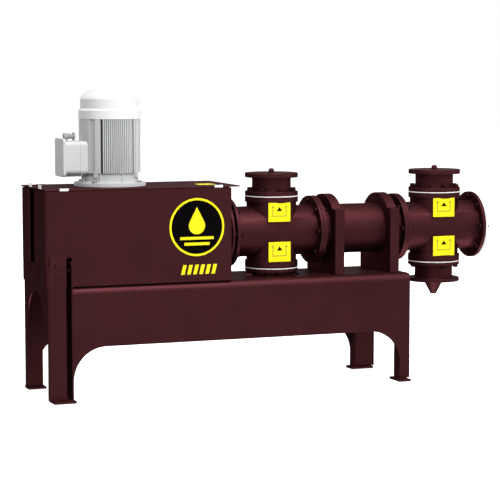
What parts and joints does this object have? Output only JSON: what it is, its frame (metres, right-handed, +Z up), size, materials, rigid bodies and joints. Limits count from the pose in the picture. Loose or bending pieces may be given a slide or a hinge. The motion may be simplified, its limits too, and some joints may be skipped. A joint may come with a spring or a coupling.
{
  "type": "piston pump",
  "caption": "Horizontal piston pump for slurry: gear housing with flange motor and two valve bodies joined by a barrel, on a folded steel frame with legs.",
  "frame": {"origin": "on the floor, midway along the pump and on its mid plane", "axes": "+X along the pump from the gear housing to the blanked end flange, -Y the front with the valve plates, +Z up"},
  "size_m": [2.06, 0.464, 1.266],
  "materials": {
    "maroon_paint": "semi-gloss paint on steel",
    "motor_grey": "satin grey paint on cast aluminium",
    "gasket_white": "matt white flange seal"
  },
  "bodies": {
    "root": {"barrel": "maroon_paint", "cable_gland": "motor_grey", "deck_plate": "maroon_paint", "end_blank": "gasket_white", "fan_cowl": "motor_grey", "front_beam": "maroon_paint", "front_left_foot": "maroon_paint", "front_left_rib": "maroon_paint", "front_right_foot": "maroon_paint", "front_right_leg_plate": "maroon_paint", "housing_floor": "maroon_paint", "housing_front_panel": "maroon_paint", "housing_left_wall": "maroon_paint", "housing_lid": "maroon_paint", "housing_rear_panel": "maroon_paint", "housing_right_wall": "maroon_paint", "inlet_cone": "maroon_paint", "inlet_gasket_1": "gasket_white", "inlet_gasket_2": "gasket_white", "inlet_neck_1": "maroon_paint", "inlet_neck_2": "maroon_paint", "left_bracket": "maroon_paint", "left_leg_frame": "maroon_paint", "lid_rim": "maroon_paint", "motor_flange": "motor_grey", "motor_stator": "motor_grey", "outlet_gasket_1": "gasket_white", "outlet_gasket_2": "gasket_white", "outlet_knob_1": "maroon_paint", "outlet_knob_2": "maroon_paint", "outlet_neck_1": "maroon_paint", "outlet_neck_2": "maroon_paint", "pump_adapter": "maroon_paint", "rear_beam": "maroon_paint", "rear_left_foot": "maroon_paint", "rear_right_foot": "maroon_paint", "rear_right_leg_plate": "maroon_paint", "right_end_plate": "maroon_paint", "saddle_1": "maroon_paint", "saddle_2": "maroon_paint", "terminal_box": "motor_grey", "terminal_box_lid": "motor_grey", "valve_body_1": "maroon_paint", "valve_body_2": "maroon_paint"}
  },
  "joints": []
}
